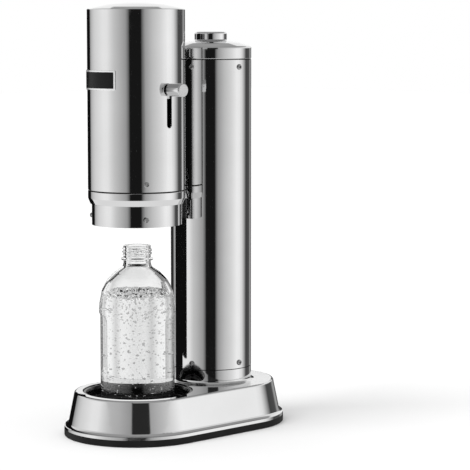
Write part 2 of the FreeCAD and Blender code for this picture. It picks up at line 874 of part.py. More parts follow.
head_shell = turned(
    "head_shell",
    (
        (shell_inner, size("head_seam") + size("seam_gap") / 2),
        (size("head_radius"), size("head_seam") + size("seam_gap") / 2),
        (size("head_radius"), head_rim - 1.3),
        (shell_inner, head_rim - 1.3),
    ),
    along=front_axis,
)
sketch = sketch_on(head_shell, "YZ_Plane")
long_round(
    sketch,
    size("stem_radius") + size("slot_side"),
    size("lever_travel") / 2 + 0.3,
    lever_height - size("lever_travel") / 2,
)
pocket(head_shell, sketch, size("head_radius") + 1, True)
sketch = sketch_on(head_shell, "XZ_Plane")
window_low = lever_height - size("lever_travel") - 10
outline(
    sketch,
    (
        (-size("channel_half"), window_low),
        (size("channel_half"), window_low),
        (size("channel_half"), lever_height + 10),
        (-size("channel_half"), lever_height + 10),
    ),
)
pocket(head_shell, sketch, size("head_radius") + 1)
head_screw_height = size("head_seam") + size("head_screw_rise")
radial_holes(head_shell, "XZ_Plane", size("screw_radius") + 0.1, head_screw_height, 3, False)

dome_top = head_rim + size("dome_rise")
head_lid = turned(
    "head_lid",
    (
        (0, dome_top),
        (size("head_radius") * 0.3, dome_top - size("dome_rise") * 0.08),
        (size("head_radius") * 0.6, dome_top - size("dome_rise") * 0.33),
        (size("head_radius") * 0.85, dome_top - size("dome_rise") * 0.7),
        (size("head_radius"), head_rim),
        (size("head_radius"), head_rim - 1.3),
        (shell_inner - 0.1, head_rim - 1.3),
        (shell_inner - 0.1, head_rim - 3.4),
        (shell_inner - 2.4, head_rim - 3.4),
        (shell_inner - 2.4, head_rim - 0.9),
        (size("head_radius") * 0.6, dome_top - size("dome_rise") * 0.33 - 1.6),
        (0, dome_top - 1.7),
    ),
    along=front_axis,
)
round_edges(head_lid, edges_at(head_lid, head_rim, radius=size("head_radius")), 0.7)

ring_top = size("head_seam") - size("seam_gap") / 2
ring_low = ring_top - size("ring_height")
bevel_low = ring_low - size("bevel_height")
bush_inner = size("shield_radius") + size("slide_gap")
bush_outer = size("shield_radius") + 1.6
lower_ring = turned(
    "head_lower_ring",
    (
        (size("shield_radius") + 0.5, bevel_low),
        (size("shield_radius") + 1.0, bevel_low),
        (size("head_radius"), ring_low),
        (size("head_radius"), ring_top),
        (shell_inner - 0.05, ring_top),
        (shell_inner - 0.05, size("head_seam") + size("spigot_height")),
        (size("shield_radius") + 0.5, size("head_seam") + size("spigot_height")),
        (size("shield_radius") + 0.5, ring_top),
        (bush_outer, ring_top),
        (bush_outer, bevel_low + 2),
        (size("shield_radius") + 0.5, bevel_low + 2),
    ),
    along=front_axis,
)
radial_holes(lower_ring, "XZ_Plane", size("screw_radius") + 0.1, head_screw_height, 3, False)
turned(
    "shield_bush",
    (
        (bush_inner, bevel_low + 2.05),
        (bush_outer - 0.05, bevel_low + 2.05),
        (bush_outer - 0.05, ring_top - 0.05),
        (bush_inner, ring_top - 0.05),
    ),
    along=front_axis,
)
radial_screws("head_screws", size("head_radius"), 3.2, head_screw_height, 3, front_axis, 90)

bridge = new_body("bridge_bracket", along=front_axis)
sketch = sketch_on(bridge, "XY_Plane", lift=bridge_low)
half_width = size("bridge_half")
outline(
    sketch,
    (
        (-half_width, size("head_radius") - 3),
        (half_width, size("head_radius") - 3),
        (half_width, column_front + 3),
        (-half_width, column_front + 3),
    ),
)
pad(bridge, sketch, bridge_high - bridge_low)
sketch = sketch_on(bridge, "XY_Plane", lift=bridge_low)
circle(sketch, 0, 0, size("head_radius"))
circle(sketch, 0, size("reach"), size("column_radius"))
pocket(bridge, sketch, bridge_high - bridge_low, True)
sketch = sketch_on(bridge, "XZ_Plane", lift=-size("head_radius") + 4)
outline(
    sketch,
    (
        (-size("channel_half"), channel_low),
        (size("channel_half"), channel_low),
        (size("channel_half"), channel_high),
        (-size("channel_half"), channel_high),
    ),
)
pocket(bridge, sketch, 30)

# ---- badge, without lettering ----

badge_high = head_rim - size("badge_drop")
badge_low = badge_high - size("badge_height")
border = size("badge_border")
turned(
    "badge_frame",
    (
        (size("head_radius") + 0.05, badge_low),
        (size("head_radius") + 0.9, badge_low),
        (size("head_radius") + 0.9, badge_high),
        (size("head_radius") + 0.05, badge_high),
    ),
    along=front_axis,
    turn=size("badge_start"),
    angle=size("badge_angle"),
)
turned(
    "badge_field",
    (
        (size("head_radius") + 0.9, badge_low + border),
        (size("head_radius") + 1.2, badge_low + border),
        (size("head_radius") + 1.2, badge_high - border),
        (size("head_radius") + 0.9, badge_high - border),
    ),
    along=front_axis,
    turn=size("badge_start") + 2.0,
    angle=size("badge_angle") - 4.0,
)

# ---- lever ----

band_outer = shell_inner - 0.4
band_inner = band_outer - size("band_thick")
knob_start = size("head_radius") + 1.8
knob_end = knob_start + size("lever_length")
lever_knob = side_turned(
    "lever_knob",
    (
        (knob_start, size("stem_radius")),
        (knob_start, size("lever_radius") - 0.6),
        (knob_start + 0.6, size("lever_radius") - 0.2),
        (knob_end - 0.9, size("lever_radius")),
        (knob_end - 0.2, size("lever_radius") - 0.5),
        (knob_end, size("lever_radius") - 1.6),
        (knob_end, 0),
        (knob_start + 11, 0),
        (knob_start + 11, size("stem_radius")),
    ),
    lever_height,
    along=front_axis,
)
side_turned(
    "lever_stem",
    (
        (band_inner + 0.3, 0),
        (band_inner + 0.3, size("stem_radius")),
        (knob_start + 11, size("stem_radius")),
        (knob_start + 11, 0),
    ),
    lever_height,
    along=front_axis,
)
band_low = lever_height - size("band_height") / 2
band_high = lever_height + size("band_height") / 2
lever_band = turned(
    "lever_band",
    (
        (band_inner, band_low),
        (band_outer, band_low),
        (band_outer, band_high),
        (band_inner, band_high),
    ),
    along=front_axis,
)
band_reach = size("head_radius") + 5
sketch = sketch_on(lever_band, "XY_Plane", lift=band_low)
outline(
    sketch,
    (
        (-band_reach, -band_reach),
        (band_reach, -band_reach),
        (band_reach, -8.6),
        (-2.5, -8.6),
        (-2.5, band_reach),
        (-band_reach, band_reach),
    ),
)
pocket(lever_band, sketch, size("band_height"), True)
sketch = sketch_on(lever_band, "YZ_Plane")
circle(sketch, 0, lever_height, size("stem_radius") + 0.02)
pocket(lever_band, sketch, size("head_radius"), True)
lever_wedge = new_body("lever_wedge", along=front_axis)
sketch = sketch_on(lever_wedge, "YZ_Plane", lift=-2.5)
ramp_low = plunger_height - 4
slope = size("wedge_gain") / size("lever_travel")
ramp_start = size("head_radius") + 6.2
ramp_end = ramp_start + slope * (ramp_high - plunger_height)
outline(
    sketch,
    (
        (band_outer, band_low + 1),
        (size("head_radius") + 2.2, band_low + 1),
        (size("head_radius") + 2.2, ramp_low),
        (ramp_start - slope * 4, ramp_low),
        (ramp_end, ramp_high),
        (size("head_radius") + 2.2, ramp_high),
        (size("head_radius") + 2.2, band_high - 1),
        (band_outer, band_high - 1),
    ),
)
pad(lever_wedge, sketch, 6.0)
coil(
    "lever_spring",
    2.3,
    0.45,
    channel_low + 0.5,
    ramp_low - 0.7,
    11,
    front_axis + size("head_radius") + 4.6,
    0.5,
)

plunger = new_body("plunger", along=front_axis)
sketch = sketch_on(plunger, "YZ_Plane", rise=plunger_height)
outline(
    sketch,
    (
        (ramp_start + 0.1, 0),
        (ramp_start + 0.4, 1.2),
        (ramp_start + 1.4, 2.4),
        (ramp_start + 3, size("plunger_radius")),
        (size("reach") - 16, size("plunger_radius")),
        (size("reach") - 16, 0),
    ),
)
revolve(plunger, sketch, "H_Axis")

# ---- shield, with the gas nozzle ----

shield_tube = turned(
    "shield_tube",
    (
        (shield_inner, shield_bottom),
        (size("shield_radius"), shield_bottom),
        (size("shield_radius"), shield_top),
        (shield_inner, shield_top),
    ),
    along=front_axis,
)
stud_height = shield_bottom + size("stud_rise")
radial_holes(shield_tube, "XZ_Plane", 1.6, stud_height, 3, False)
stud_end = size("shield_radius") + size("stud_length")
studs = side_turned(
    "shield_studs",
    (
        (shield_inner - 1.4, 0),
        (shield_inner - 1.4, 2.4),
        (shield_inner - 0.2, 2.4),
        (shield_inner - 0.2, 1.5),
        (size("shield_radius"), 1.5),
        (size("shield_radius"), size("stud_radius")),
        (stud_end - 0.7, size("stud_radius")),
        (stud_end, size("stud_radius") - 0.7),
        (stud_end, 0),
    ),
    stud_height,
    along=front_axis,
    turn=90,
)
ring_of(studs, studs.Tip, 3)

carrier_low = seal_under + 5.0
turned(
    "nozzle_carrier",
    (
        (3.05, carrier_low),
        (shield_inner - 0.2, carrier_low),
        (shield_inner - 0.2, carrier_low + 16),
        (shield_inner - 2.4, carrier_low + 16),
        (shield_inner - 2.4, carrier_low + 3),
        (8.0, carrier_low + 3),
        (8.0, carrier_low + 9),
        (3.05, carrier_low + 9),
    ),
    along=front_axis,
)
turned(
    "bottle_seal",
    (
        (3.2, seal_under + 1.5),
        (size("neck_radius") - 5, seal_under + 1.5),
        (size("neck_radius") - 4, seal_under),
        (size("neck_radius") + 2.2, seal_under),
        (size("neck_radius") + 3.2, carrier_low),
        (3.2, carrier_low),
    ),
    along=front_axis,
)
nozzle_low = seal_under - 44
turned(
    "nozzle_tube",
    (
        (1.4, nozzle_low + 4),
        (3.0, nozzle_low + 4),
        (3.0, carrier_low + 9),
        (1.4, carrier_low + 9),
    ),
    along=front_axis,
)
turned(
    "nozzle_tip",
    (
        (0.5, nozzle_low),
        (2.2, nozzle_low),
        (4.0, nozzle_low + 2.5),
        (4.0, nozzle_low + 9),
        (3.05, nozzle_low + 9),
        (3.05, nozzle_low + 4),
        (0.5, nozzle_low + 4),
    ),
    along=front_axis,
)
turned(
    "relief_valve",
    (
        (0, carrier_low + 3),
        (5.0, carrier_low + 3),
        (5.0, carrier_low + 7),
        (3.8, carrier_low + 7),
        (3.8, carrier_low + 17),
        (2.4, carrier_low + 19),
        (0, carrier_low + 19),
    ),
    along=front_axis,
    across=30,
)
fitting_low = carrier_low + 9
fitting = turned(
    "hose_fitting",
    (
        (0, fitting_low),
        (6.0, fitting_low),
        (6.0, fitting_low + 7),
        (4.5, fitting_low + 8),
        (0, fitting_low + 8),
    ),
    along=front_axis,
)
sketch = sketch_on(fitting, "YZ_Plane")
circle(sketch, 0, fitting_low + 4, 1.5)
pad(fitting, sketch, size("hose_radius") - size("hose_bore") - 0.1)
manifold_low = head_rim - 9.0
manifold_radius = 9.0
coil(
    "gas_hose",
    size("hose_radius"),
    size("hose_bore"),
    fitting_low + 4,
    manifold_low - 2.0,
    4,
    front_axis,
)
turned(
    "gas_manifold",
    (
        (0, manifold_low),
        (manifold_radius, manifold_low),
        (manifold_radius, dome_top - 2.45),
        (0, dome_top - 2.45),
    ),
    along=front_axis,
)
gas_pipe = new_body("gas_pipe", across=-5.2, along=front_axis)
profile = sketch_on(gas_pipe, "XZ_Plane", lift=-(size("reach") - 18))
circle(profile, 0, plunger_height + 9, size("pipe_radius"))
path = sketch_on(gas_pipe, "YZ_Plane")
pipe_out = size("shield_radius") + 1.05
corners = (
    (size("reach") - 18, plunger_height + 9),
    (pipe_out, plunger_height + 9),
    (pipe_out, head_rim - 5.0),
    (manifold_radius - 1.05, head_rim - 5.0),
)
points = [Vector(number(along), number(up), 0) for along, up in corners]
for place in range(3):
    path.addGeometry(Part.LineSegment(points[place], points[place + 1]), False)
for place in range(2):
    path.addConstraint(Sketcher.Constraint("Coincident", place, 2, place + 1, 1))
for place in range(3):
    pin(path, place, 1, *corners[place])
pin(path, 2, 2, *corners[3])
run = feature(gas_pipe, "AdditivePipe", profile)
run.Spine = (path, ["Edge1", "Edge2", "Edge3"])
run.Transition = "Round corner"
doc.recompute()

# ---- check and write ----

os.makedirs("parts", exist_ok=True)
doc.recompute()
faults = []
for item in doc.Objects:
    if "Invalid" in item.State or "Error" in item.State:
        faults.append("%s: %s" % (item.Name, item.State))
for body in [item for item in doc.Objects if item.TypeId == "PartDesign::Body"]:
    shape = body.Shape
    if shape.isNull() or not shape.isValid() or shape.Volume <= 0:
        faults.append(body.Label + ": no sound shape")
        continue
    shape.exportStep("parts/%s.step" % body.Label)
    print(body.Label, len(shape.Solids), round(shape.Volume, 1), shape.BoundBox)
if faults:
    raise SystemExit("faults: " + "; ".join(faults))
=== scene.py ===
import math
import random

import bmesh
import bpy
from mathutils import Matrix, Vector, noise


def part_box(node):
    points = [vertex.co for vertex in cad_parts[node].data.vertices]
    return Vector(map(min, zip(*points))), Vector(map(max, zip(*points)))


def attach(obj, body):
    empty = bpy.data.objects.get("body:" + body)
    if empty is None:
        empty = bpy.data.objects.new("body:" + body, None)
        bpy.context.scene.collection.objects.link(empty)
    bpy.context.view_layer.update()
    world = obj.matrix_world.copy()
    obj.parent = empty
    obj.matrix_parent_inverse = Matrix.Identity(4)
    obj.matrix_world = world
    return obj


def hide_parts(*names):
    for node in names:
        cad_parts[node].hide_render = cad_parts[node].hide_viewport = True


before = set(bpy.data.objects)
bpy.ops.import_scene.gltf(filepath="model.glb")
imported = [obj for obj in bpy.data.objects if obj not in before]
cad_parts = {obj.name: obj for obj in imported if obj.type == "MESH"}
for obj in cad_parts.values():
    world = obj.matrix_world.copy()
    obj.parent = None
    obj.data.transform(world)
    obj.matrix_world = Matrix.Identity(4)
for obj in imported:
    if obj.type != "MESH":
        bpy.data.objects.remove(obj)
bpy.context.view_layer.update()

scene = bpy.context.scene
scene.view_settings.view_transform = "Standard"
MM = 0.001
ON_AXIS = 1e-6


# ---- places taken from the frame ----


def middle(node):
    lowest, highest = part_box(node)
    return (lowest + highest) / 2


def reach(node):
    """Half the width of a round node."""
    lowest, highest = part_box(node)
    return (highest.x - lowest.x) / 2


def low(node):
    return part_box(node)[0].z


def high(node):
    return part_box(node)[1].z


def upright(node):
    """Where the upright axis through a node meets the table."""
    return Vector((0, middle(node).y, 0))


head = upright("head_shell")
column = upright("column_tube")


# ---- materials ----


def material(name):
    made = bpy.data.materials.new(name)
    made.use_nodes = True
    tree = made.node_tree
    tree.nodes.clear()
    out = tree.nodes.new("ShaderNodeOutputMaterial")
    shader = tree.nodes.new("ShaderNodeBsdfPrincipled")
    tree.links.new(shader.outputs[0], out.inputs["Surface"])
    return made, tree, shader


def grain(tree, stretch, size, detail=3.0, rough=0.55):
    """Noise in the object's own metres, stretched along each axis."""
    spot = tree.nodes.new("ShaderNodeTexCoord")
    scale = tree.nodes.new("ShaderNodeMapping")
    scale.inputs["Scale"].default_value = stretch
    speck = tree.nodes.new("ShaderNodeTexNoise")
    speck.inputs["Scale"].default_value = size
    speck.inputs["Detail"].default_value = detail
    speck.inputs["Roughness"].default_value = rough
    tree.links.new(spot.outputs["Object"], scale.inputs["Vector"])
    tree.links.new(scale.outputs[0], speck.inputs["Vector"])
    return speck.outputs["Fac"]


def spread(tree, value, low_out, high_out, low_in=0.3, high_in=0.7):
    span = tree.nodes.new("ShaderNodeMapRange")
    span.inputs["From Min"].default_value = low_in
    span.inputs["From Max"].default_value = high_in
    span.inputs["To Min"].default_value = low_out
    span.inputs["To Max"].default_value = high_out
    tree.links.new(value, span.inputs["Value"])
    return span.outputs[0]


def mix(tree, value, first, second):
    blend = tree.nodes.new("ShaderNodeMix")
    blend.data_type = "RGBA"
    blend.inputs["A"].default_value = (*first, 1)
    blend.inputs["B"].default_value = (*second, 1)
    tree.links.new(value, blend.inputs["Factor"])
    return blend.outputs["Result"]


def bump(tree, shader, value, strength, distance):
    relief = tree.nodes.new("ShaderNodeBump")
    relief.inputs["Strength"].default_value = strength
    relief.inputs["Distance"].default_value = distance
    tree.links.new(value, relief.inputs["Height"])
    tree.links.new(relief.outputs[0], shader.inputs["Normal"])


def metal(name, dark, light, smooth, worn, lines, strength):
    """Polished metal: cloudy polish, and fine lines left by the polishing wheel."""
    made, tree, shader = material(name)
    shader.inputs["Metallic"].default_value = 1
    cloud = grain(tree, (9, 9, 14), 1.0, 4)
    tint = mix(tree, spread(tree, cloud, 0, 1), dark, light)
    tree.links.new(tint, shader.inputs["Base Color"])
    wipe = grain(tree, (34, 34, 90), 1.0, 6, 0.7)
    tree.links.new(spread(tree, wipe, smooth, worn), shader.inputs["Roughness"])
    bump(tree, shader, grain(tree, lines, 1.0, 2), strength, 0.00002)
    return made


def steel(name, dark, light, smooth, worn, lines=(60, 60, 2600), strength=0.04):
    """Stainless steel, given by its darkest and lightest grey."""
    return metal(name, (dark,) * 3, (light, light, light * 1.004), smooth, worn, lines, strength)


def plastic(name, dark, light, smooth, worn, size, strength, depth):
    """Moulded plastic, rubber or paint: a little cloud in the colour and a fine grain."""
    made, tree, shader = material(name)
    cloud = grain(tree, (1, 1, 1), 40.0, 4)
    tree.links.new(mix(tree, spread(tree, cloud, 0, 1), dark, light), shader.inputs["Base Color"])
    speck = grain(tree, (1, 1, 1), size, 2, 0.6)
    tree.links.new(spread(tree, speck, smooth, worn), shader.inputs["Roughness"])
    bump(tree, shader, speck, strength, depth)
    return made


def clear(name, index, tint):
    """Glass or water, with a faint haze in its tint."""
    made, tree, shader = material(name)
    shader.inputs["Transmission Weight"].default_value = 1
    shader.inputs["IOR"].default_value = index
    haze = grain(tree, (1, 1, 1), 60.0, 3)
    pale = tuple(part * 0.985 for part in tint)
    tree.links.new(mix(tree, spread(tree, haze, 0, 1), pale, tint), shader.inputs["Base Color"])
    shader.inputs["Roughness"].default_value = 0.0
    return made


polished = steel("polished_steel", 0.63, 0.68, 0.03, 0.075)
screwed = steel("screw_steel", 0.30, 0.42, 0.14, 0.26, (300, 300, 300), 0.2)
plain = steel("plain_steel", 0.46, 0.56, 0.22, 0.36, (40, 40, 900), 0.25)
rubber = plastic("black_rubber", (0.006,) * 3, (0.011,) * 3, 0.5, 0.68, 1500.0, 0.3, 0.00006)
black = plastic("black_plastic", (0.003,) * 3, (0.006,) * 3, 0.14, 0.24, 2200.0, 0.12, 0.00003)
silicone = plastic("silicone", (0.42,) * 3, (0.52, 0.52, 0.51), 0.4, 0.55, 900.0, 0.15, 0.00004)
hose = plastic("hose_plastic", (0.62, 0.62, 0.60), (0.74, 0.74, 0.71), 0.3, 0.42, 500.0, 0.15, 0.00004)
paint = plastic("cylinder_paint", (0.16, 0.17, 0.19), (0.22, 0.23, 0.26), 0.28, 0.4, 700.0, 0.2, 0.00005)
brass = metal("brass", (0.62, 0.44, 0.19), (0.74, 0.56, 0.27), 0.16, 0.3, (80, 80, 900), 0.2)
enamel = plastic("badge_enamel", (0.003,) * 3, (0.006,) * 3, 0.24, 0.34, 900.0, 0.05, 0.00002)
for matte in (rubber, enamel):
    matte.node_tree.nodes["Principled BSDF"].inputs["Specular IOR Level"].default_value = 0.12
border = steel("badge_border", 0.86, 0.94, 0.34, 0.46, (300, 300, 300), 0.1)
brushed = steel("brushed_end", 0.42, 0.60, 0.26, 0.42, (40, 900, 40), 0.35)
# Painted shade: near-black steel for hidden rings and spigots, so that the gaps between the parts show as
# dark lines of shade.
painted_gap_shade = steel("painted_gap_shade_steel", 0.02, 0.04, 0.5, 0.65, (60, 60, 600), 0.2)
glass = clear("clear_glass", 1.46, (0.992, 0.994, 0.993))
water = clear("sparkling_water", 1.333, (0.972, 0.974, 0.974))

FINISH = {
    "polished_steel": polished,
    "screw_steel": screwed,
    "plain_steel": plain,
    "black_rubber": rubber,
    "black_plastic": black,
    "silicone": silicone,
    "hose_plastic": hose,
    "cylinder_paint": paint,
    "brass": brass,
    "badge_enamel": enamel,
    "clear_glass": glass,
}
# The column's two rings sit inside gaps, and they take the painted gap shade all over.
GAP_SHADE_RINGS = ("column_base_ring", "column_top_ring")
for name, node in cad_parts.items():
    for slot in node.material_slots:
        found = slot.material.name.split(".")[0] if slot.material else ""
        slot.material = painted_gap_shade if name in GAP_SHADE_RINGS else FINISH.get(found, plain)


# ---- meshes ----


def arc(before, corner, after, radius, steps=5):
    """Points that round one corner of an outline."""
    first = (before - corner).normalized()
    second = (after - corner).normalized()
    half = math.acos(max(-1, min(1, first.dot(second)))) / 2
    room = 0.49
    back = min(radius / math.tan(half), (before - corner).length * room, (after - corner).length * room)
    start, end = corner + first * back, corner + second * back
    points = []
    for step in range(steps + 1):
        share = step / steps
        points.append(start * (1 - share) ** 2 + corner * 2 * share * (1 - share) + end * share**2)
    return points


def outline(corners, steps=5):
    """An open outline of (radius, height) in mm; a third number rounds that corner."""
    points = [Vector(corner[:2]) for corner in corners]
    made = [points[0]]
    for place in range(1, len(corners) - 1):
        if len(corners[place]) > 2:
            made += arc(points[place - 1], points[place], points[place + 1], corners[place][2], steps)
        else:
            made.append(points[place])
    made.append(points[-1])
    return made


def skin(work, rings, closed=False):
    """Faces from each ring of points to the next; a ring of one point ends in a fan."""
    pairs = list(zip(rings, rings[1:]))
    if closed:
        pairs.append((rings[-1], rings[0]))
    for below, above in pairs:
        around = max(len(below), len(above))
        for step in range(around):
            after = (step + 1) % around
            if len(below) == 1:
                work.faces.new((below[0], above[after], above[step]))
            elif len(above) == 1:
                work.faces.new((below[step], below[after], above[0]))
            else:
                work.faces.new((below[step], below[after], above[after], above[step]))


def lathe(corners, centre, around=192, axis="Z", steps=5):
    """Mesh turned from an outline. It starts and ends on the axis, or closes on itself."""
    closed = corners[0][0] > 0
    if closed:
        last = corners[-1]
        first = corners[0]
        halfway = ((last[0] + first[0]) / 2, (last[1] + first[1]) / 2)
        corners = [halfway, *corners, halfway]
    points = outline(corners, steps)
    if closed:
        points.pop()
    work = bmesh.new()
    rings = []
    for point in points:
        if point.x < ON_AXIS:
            rings.append([work.verts.new((0, 0, point.y * MM))])
            continue
        ring = []
        for step in range(around):
            angle = 2 * math.pi * step / around
            across, along = point.x * MM * math.cos(angle), point.x * MM * math.sin(angle)
            ring.append(work.verts.new((across, along, point.y * MM)))
        rings.append(ring)
    skin(work, rings, closed)
    if axis == "X":
        bmesh.ops.rotate(work, verts=work.verts, matrix=Matrix.Rotation(math.pi / 2, 3, "Y"))
    bmesh.ops.translate(work, verts=work.verts, vec=centre)
    bmesh.ops.recalc_face_normals(work, faces=work.faces)
    return work


def piece(name, work, body, finish, nodes=(), sharp=32):
    """Turns a bmesh into a shown piece that rides on a body and stands for CAD nodes."""
    mesh = bpy.data.meshes.new(name)
    work.to_mesh(mesh)
    work.free()
    mesh.materials.append(finish)
    mesh.polygons.foreach_set("use_smooth", [True] * len(mesh.polygons))
    mesh.set_sharp_from_angle(angle=math.radians(sharp))
    made = bpy.data.objects.new(name, mesh)
    scene.collection.objects.link(made)
    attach(made, body)
    if nodes:
        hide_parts(*nodes)
    return made


def second_finish(made, finish, chosen):
    """Gives a piece's chosen faces another material."""
    made.data.materials.append(finish)
    for face in made.data.polygons:
        if chosen(face.center):
            face.material_index = 1


# ---- bottle ----

bottle_axis = upright("bottle_glass")
bottle_low = low("bottle_glass") / MM
bottle_high = high("bottle_glass") / MM
bottle_side = reach("bottle_glass") / MM
neck_side = 14.2
glass_wall = 3.2
CORNER_STEPS = 6
panel_turn = math.radians(45.6)


def bottle_profile():
    """Outside then inside of the bottle, from the foot's middle to the inner bottom's middle."""
    outside = [
        (0, bottle_low + 3.0),
        (bottle_side - 9, bottle_low + 1.4, 2.0),
        (bottle_side - 7, bottle_low, 1.2),
        (bottle_side - 3, bottle_low, 3.0),
        (bottle_side, bottle_low + 3.4, 3.0),
        (bottle_side, bottle_high - 63.0, 30.0),
        (bottle_side - 3.2, bottle_high - 46.5, 22.0),
        (bottle_side - 8.4, bottle_high - 36.6, 18.0),
        (bottle_side - 16.4, bottle_high - 28.4, 14.0),
        (neck_side + 1.0, bottle_high - 22.6, 6.0),
        (neck_side, bottle_high - 18.4, 3.0),
        (neck_side, bottle_high - 16.0, 0.5),
        (neck_side + 2.6, bottle_high - 15.4, 0.7),
        (neck_side + 2.6, bottle_high - 13.8, 0.7),
        (neck_side, bottle_high - 13.0, 0.5),
        (neck_side, bottle_high - 0.3, 0.5),
        (neck_side - 0.8, bottle_high, 0.5),
    ]
    inside = [
        (neck_side - glass_wall + 0.6, bottle_high, 0.5),
        (neck_side - glass_wall, bottle_high - 0.8, 0.5),
        (neck_side - glass_wall, bottle_high - 20.4, 4.0),
        (neck_side + 1.0 - glass_wall, bottle_high - 24.6, 6.0),
        (bottle_side - 19.3, bottle_high - 31.6, 12.0),
        (bottle_side - 11.3, bottle_high - 39.0, 14.0),
        (bottle_side - 7.0, bottle_high - 48.0, 20.0),
        (bottle_side - glass_wall, bottle_high - 63.0, 30.0),
        (bottle_side - glass_wall, bottle_low + 9.0, 4.5),
        (bottle_side - glass_wall - 5, bottle_low + 4.6, 4.5),
        (0, bottle_low + 6.2),
    ]
    return outside, inside


def fill_in(points, gap):
    """The same line with no step longer than gap."""
    made = [points[0]]
    for point in points[1:]:
        count = max(1, math.ceil((point - made[-1]).length / gap(point.y)))
        start = made[-1]
        for step in range(1, count + 1):
            made.append(start.lerp(point, step / count))
    return made


def smoothstep(low_end, high_end, value):
    share = max(0.0, min(1.0, (value - low_end) / (high_end - low_end)))
    return share * share * (3 - 2 * share)


panel_half = math.radians(41)
panel_low = bottle_low + 14.0
panel_high = bottle_high - 71.0
panel_corner = 9.0
panel_sink = 1.3
panel_slope = (panel_corner - 2.4, panel_corner + 0.2)
thread_low = bottle_high - 11.0
thread_high = bottle_high - 2.2
thread_pitch = 3.6
thread_height = 1.3
thread_fade = 1.2


def panel_depth(angle, level):
    """How far the moulded grip panels sink into the side."""
    best = 0.0
    for turn in (panel_turn, panel_turn + math.pi):
        swing = math.atan2(math.sin(angle - turn), math.cos(angle - turn))
        across = abs(swing) * bottle_side - (panel_half * bottle_side - panel_corner)
        centre = (panel_low + panel_high) / 2
        along = abs(level - centre) - ((panel_high - panel_low) / 2 - panel_corner)
        outside = math.hypot(max(across, 0), max(along, 0)) + min(max(across, along), 0)
        best = max(best, 1 - smoothstep(*panel_slope, outside))
    return best * panel_sink


def thread_rise(angle, level):
    """Height of the screw thread round the neck."""
    turn = angle / (2 * math.pi) % 1.0
    if not thread_low <= level <= thread_high:
        return 0.0
    phase = ((level - thread_low) / thread_pitch - turn) % 1.0
    ridge = 1 - smoothstep(0.16, 0.34, abs(phase - 0.5))
    starts = smoothstep(thread_low, thread_low + thread_fade, level)
    stops = 1 - smoothstep(thread_high - thread_fade, thread_high, level)
    return thread_height * ridge * (starts * stops)


def bottle_angles(around=208, fine=math.radians(0.28), near=math.radians(2.6)):
    """Angles of the bottle's lines, closer together along the panels' edges."""
    edges = [panel_turn + half_turn + side * panel_half for half_turn in (0, math.pi) for side in (-1, 1)]
    full = 2 * math.pi
    even = [full * step / around for step in range(around)]
    kept = [a for a in even if all(abs(math.remainder(a - edge, full)) > near for edge in edges)]
    count = round(near / fine)
    extra = [(edge + fine * step) % full for edge in edges for step in range(-count, count + 1)]
    return sorted(kept + extra)


def outer_gap(level):
    """Longest step of the outside's lines at a height: short where the thread and panels are."""
    if level > thread_low - 0.5:
        return 0.36
    if min(abs(level - panel_low), abs(level - panel_high)) < 3.5:
        return 0.35
    return 2.4


def inner_gap(level):
    return 5.0


def bottle_mesh():
    angles = bottle_angles()
    outside, inside = bottle_profile()
    split = len(outline(outside + inside[:1], CORNER_STEPS)) - 1
    points = outline(outside + inside, CORNER_STEPS)
    outer = fill_in(points[: split + 1], outer_gap)
    inner = fill_in(points[split:], inner_gap)[1:]
    work = bmesh.new()
    rings = []
    for place, point in enumerate(outer + inner):
        if point.x < ON_AXIS:
            rings.append([work.verts.new(bottle_axis + Vector((0, 0, point.y * MM)))])
            continue
        ring = []
        on_side = place < len(outer)
        for angle in angles:
            radius = point.x
            if on_side and bottle_low + 6 < point.y < bottle_high - 64:
                radius -= panel_depth(angle, point.y)
            if on_side and abs(point.x - neck_side) < 0.05:
                radius += thread_rise(angle, point.y)
            spot = Vector((radius * math.cos(angle), radius * math.sin(angle), point.y))
            ring.append(work.verts.new(bottle_axis + spot * MM))
        rings.append(ring)
    skin(work, rings)
    bmesh.ops.recalc_face_normals(work, faces=work.faces)
    return work


bottle = piece("bottle_moulded_glass", bottle_mesh(), "bottle", glass, ("bottle_glass",), 60)
bottle.visible_glossy = False


# ---- water, with its bubbles as hollows ----

water_top = 150.0
WETTED = 0.12
TOP_RINGS = 26
BUBBLES = 1500


def inner_side(level):
    """Inside radius of the bottle at a height, in mm."""
    points = outline(bottle_profile()[1], CORNER_STEPS)
    for first, second in zip(points, points[1:]):
        if second.y <= level <= first.y and first.y > second.y:
            share = (level - second.y) / (first.y - second.y)
            return second.x + (first.x - second.x) * share
    return bottle_side - glass_wall


def water_mesh(around=160):
    """The water. It reaches a little into the glass, so that no air shows between them."""
    work = bmesh.new()
    rings = []
    levels = [bottle_low + 10.2, bottle_low + 12, bottle_low + 16]
    levels += [20 + 6 * step for step in range(4, 19)]
    levels += [134, 138, 142, 145, 147.5, water_top - 1.2]
    profile = [(0.0, bottle_low + 6.15)]
    inner_foot = [p for p in outline(bottle_profile()[1], CORNER_STEPS) if p.y < bottle_low + 9.2]
    for point in sorted(inner_foot, key=lambda p: p.x):
        if point.x > 0.5:
            profile.append((point.x + WETTED, point.y - 0.05))
    profile += [(inner_side(level) + WETTED, level) for level in levels]
    side = inner_side(water_top)
    profile.append((side + WETTED, water_top + 0.6))
    for step in range(1, TOP_RINGS):
        profile.append((side * (1 - step / TOP_RINGS), water_top))
    profile.append((0.0, water_top))
    for place, (radius, level) in enumerate(profile):
        on_top = place >= len(profile) - TOP_RINGS
        if radius < ON_AXIS:
            lift = ripple(0, 0) if on_top else 0
            rings.append([work.verts.new(bottle_axis + Vector((0, 0, level + lift)) * MM)])
            continue
        ring = []
        for step in range(around):
            angle = 2 * math.pi * step / around
            across, along = radius * math.cos(angle), radius * math.sin(angle)
            lift = ripple(across, along) if on_top else 0
            ring.append(work.verts.new(bottle_axis + Vector((across, along, level + lift)) * MM))
        rings.append(ring)
    skin(work, rings)
    bmesh.ops.recalc_face_normals(work, faces=work.faces)
    return work


